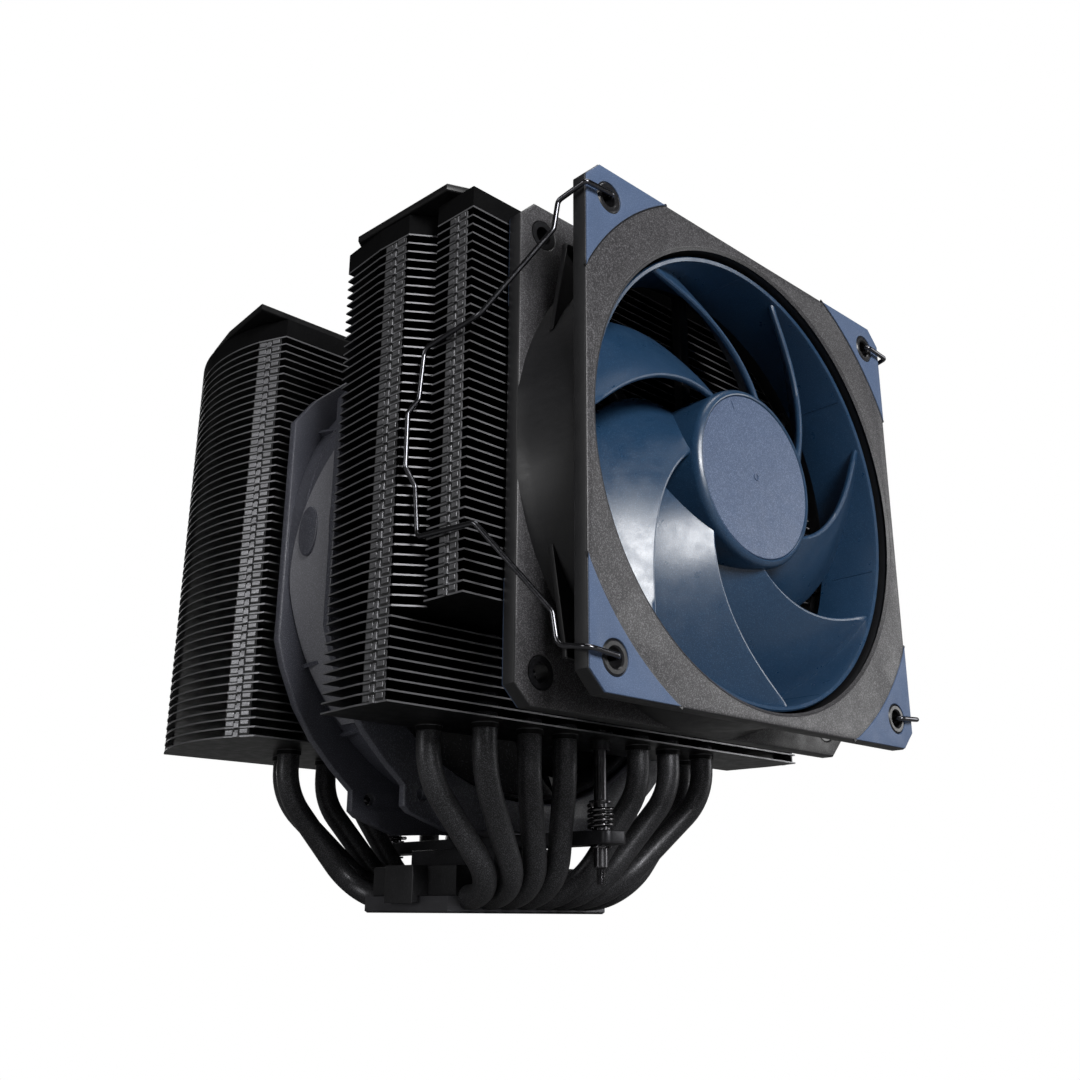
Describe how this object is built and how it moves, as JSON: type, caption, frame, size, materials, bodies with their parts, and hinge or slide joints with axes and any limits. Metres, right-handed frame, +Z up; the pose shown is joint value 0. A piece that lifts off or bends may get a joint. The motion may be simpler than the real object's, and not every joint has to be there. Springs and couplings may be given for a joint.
{
  "type": "cpu tower cooler",
  "caption": "Dual-tower processor cooler: fin stacks on U-shaped heat pipes over a copper base, with a clipped front fan, a fan between the towers, and lift-off top covers.",
  "frame": {"origin": "centre of the base's contact face, which rests on the processor", "axes": "+Z up, away from the processor and along the fin stacks; -Y towards the front fan; +X to the right seen from the front fan"},
  "size_m": [0.151, 0.1678, 0.165],
  "materials": {
    "cold_plate": "dark nickel plating, satin",
    "base_cover": "black anodised, fine brushed",
    "crossbar": "black coated steel, satin",
    "heat_pipes": "black plated copper, fine grained satin",
    "fins": "black coated aluminium sheet, satin",
    "cover_frames": "black, matte",
    "covers": "black anodised aluminium, satin",
    "screws": "dark nickel-plated steel",
    "springs": "dark spring steel",
    "bushings": "plated steel",
    "fan_frame": "charcoal, finely speckled",
    "pads": "blue-grey soft rubber",
    "grommets": "black rubber",
    "blue_rotor": "deep blue-grey, satin with a soft sheen",
    "middle_frame": "slate grey, finely speckled",
    "dark_rotor": "dark grey satin",
    "wire": "black-coated spring wire",
    "bearings": "sintered bronze",
    "shafts": "ground steel",
    "stators": "laminated steel with copper windings",
    "boards": "green laminate",
    "magnets": "ferrite, dull",
    "cover_magnets": "nickel-plated disc magnets"
  },
  "bodies": {
    "cooler": {"cold_plate": "cold_plate", "base_cover": "base_cover", "crossbar": "crossbar", "heat_pipe_1": "heat_pipes", "heat_pipe_2": "heat_pipes", "heat_pipe_3": "heat_pipes", "heat_pipe_4": "heat_pipes", "heat_pipe_5": "heat_pipes", "heat_pipe_6": "heat_pipes", "heat_pipe_7": "heat_pipes", "heat_pipe_8": "heat_pipes", "front_fins": "fins", "rear_fins": "fins", "front_cover_frame": "cover_frames", "rear_cover_frame": "cover_frames", "screw_bushings": "bushings", "front_spring": "springs", "rear_spring": "springs"},
    "front_cover_plate": {"front_cover": "covers", "front_cover_magnets": "cover_magnets"},
    "rear_cover_plate": {"rear_cover": "covers", "rear_cover_magnets": "cover_magnets"},
    "front_ring": {"front_retaining_ring": "screws"},
    "front_bolt": {"front_screw": "screws"},
    "rear_ring": {"rear_retaining_ring": "screws"},
    "rear_bolt": {"rear_screw": "screws"},
    "front_fan": {"front_fan_frame": "fan_frame", "front_fan_pads": "pads", "front_fan_grommets": "grommets", "front_fan_stator": "stators", "front_fan_bearing": "bearings", "front_fan_board": "boards", "front_clip_left": "wire", "front_clip_right": "wire"},
    "front_rotor": {"front_impeller": "blue_rotor", "front_shaft": "shafts", "front_rotor_magnet": "magnets"},
    "middle_fan": {"middle_fan_frame": "middle_frame", "middle_fan_stator": "stators", "middle_fan_bearing": "bearings", "middle_fan_board": "boards", "middle_clip_left": "wire", "middle_clip_right": "wire"},
    "middle_rotor": {"middle_impeller": "dark_rotor", "middle_shaft": "shafts", "middle_rotor_magnet": "magnets"}
  },
  "joints": [
    {"name": "front_cover_lift", "type": "slide", "parent": "cooler", "child": "front_cover_plate", "axis": [0, 0, 1], "range_m": [0, 0.04]},
    {"name": "rear_cover_lift", "type": "slide", "parent": "cooler", "child": "rear_cover_plate", "axis": [0, 0, 1], "range_m": [0, 0.04]},
    {"name": "front_fan_slide", "type": "slide", "parent": "cooler", "child": "front_fan", "axis": [0, 0, 1], "range_m": [0, 0.02]},
    {"name": "front_fan_spin", "type": "hinge", "parent": "front_fan", "child": "front_rotor", "pos_m": [0, -0.0975, 0.1005], "axis": [0, -1, 0], "continuous": true},
    {"name": "middle_fan_slide", "type": "slide", "parent": "cooler", "child": "middle_fan", "axis": [0, 0, 1], "range_m": [0, 0.02]},
    {"name": "middle_fan_spin", "type": "hinge", "parent": "middle_fan", "child": "middle_rotor", "pos_m": [0, -0.0175, 0.0927], "axis": [0, -1, 0], "continuous": true},
    {"name": "front_screw_press", "type": "slide", "parent": "cooler", "child": "front_ring", "axis": [0, 0, -1], "range_m": [0, 0.0035], "stiffness_N_per_m": 10000, "springref_m": -0.002, "deforming": ["front_spring"]},
    {"name": "front_screw_spin", "type": "hinge", "parent": "front_ring", "child": "front_bolt", "pos_m": [0, -0.043, 0.016], "axis": [0, 0, 1], "continuous": true},
    {"name": "rear_screw_press", "type": "slide", "parent": "cooler", "child": "rear_ring", "axis": [0, 0, -1], "range_m": [0, 0.0035], "stiffness_N_per_m": 10000, "springref_m": -0.002, "deforming": ["rear_spring"]},
    {"name": "rear_screw_spin", "type": "hinge", "parent": "rear_ring", "child": "rear_bolt", "pos_m": [0, 0.043, 0.016], "axis": [0, 0, 1], "continuous": true}
  ]
}
